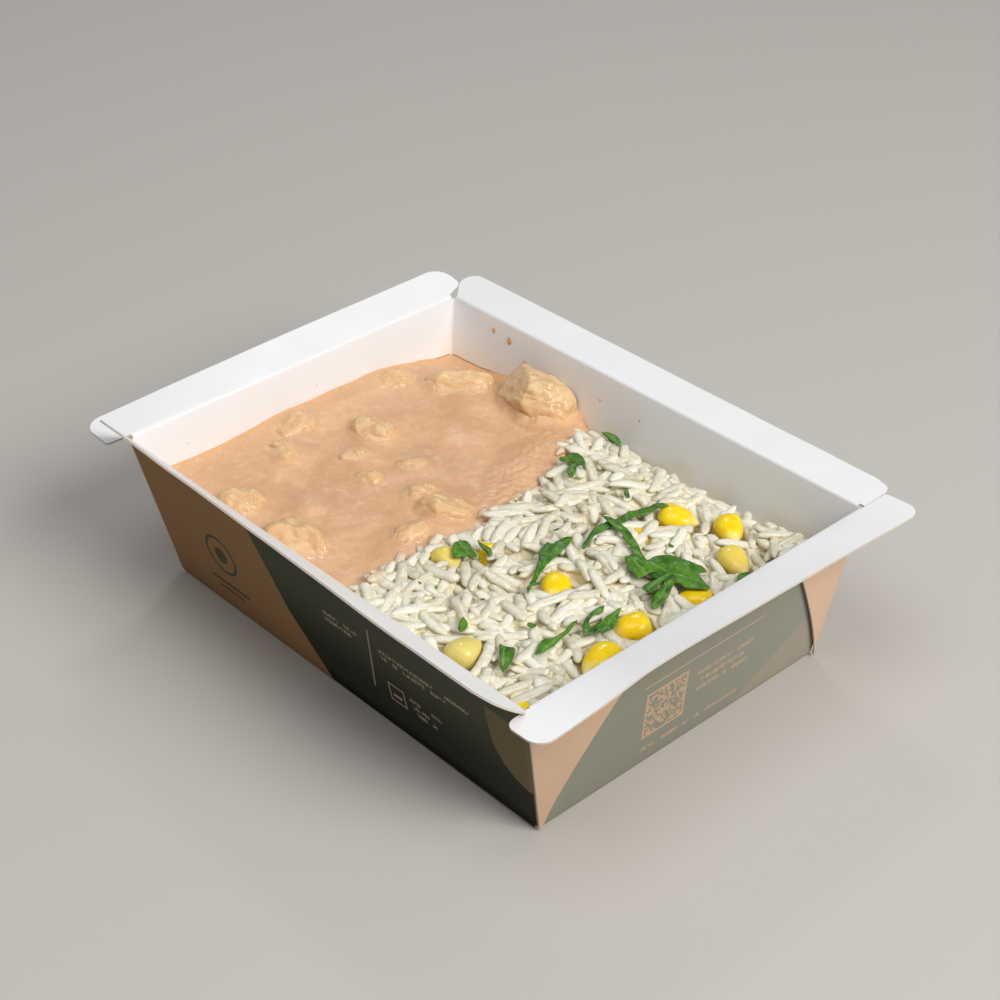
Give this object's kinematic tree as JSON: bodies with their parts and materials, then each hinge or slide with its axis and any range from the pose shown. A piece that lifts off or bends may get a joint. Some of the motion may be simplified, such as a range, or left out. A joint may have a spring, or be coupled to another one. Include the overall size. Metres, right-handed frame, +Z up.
{
  "type": "ready meal in a card tray",
  "caption": "Rectangular card tray with four rim flanges, holding chicken in a creamy sauce beside white rice with corn and parsley.",
  "frame": {"origin": "centre of the whole object in plan, on the surface that the tray stands on", "axes": "+X along the tray's longer side, towards the rice; +Y across it; +Z up"},
  "size_m": [0.17, 0.1314, 0.0504],
  "materials": {
    "card": "matte",
    "sauce": "satin",
    "chicken": "satin",
    "rice": "satin",
    "corn": "satin",
    "parsley": "matte"
  },
  "bodies": {
    "root": {"tray": "card", "sauce": "sauce", "chicken_1": "chicken", "chicken_2": "chicken", "chicken_3": "chicken", "chicken_4": "chicken", "chicken_5": "chicken", "chicken_6": "chicken", "chicken_7": "chicken", "chicken_8": "chicken", "chicken_9": "chicken", "chicken_10": "chicken", "chicken_11": "chicken", "chicken_12": "chicken", "chicken_13": "chicken", "chicken_14": "chicken", "rice": "rice", "corn_1": "corn", "corn_2": "corn", "corn_3": "corn", "corn_4": "corn", "corn_5": "corn", "corn_6": "corn", "corn_7": "corn", "corn_8": "corn", "corn_9": "corn", "corn_10": "corn", "corn_11": "corn", "corn_12": "corn", "corn_13": "corn", "parsley_1": "parsley", "parsley_2": "parsley", "parsley_3": "parsley", "parsley_4": "parsley", "parsley_5": "parsley", "parsley_6": "parsley", "parsley_7": "parsley", "parsley_8": "parsley", "parsley_9": "parsley", "parsley_10": "parsley", "parsley_11": "parsley", "parsley_12": "parsley", "parsley_13": "parsley", "parsley_14": "parsley", "parsley_15": "parsley"}
  },
  "joints": []
}
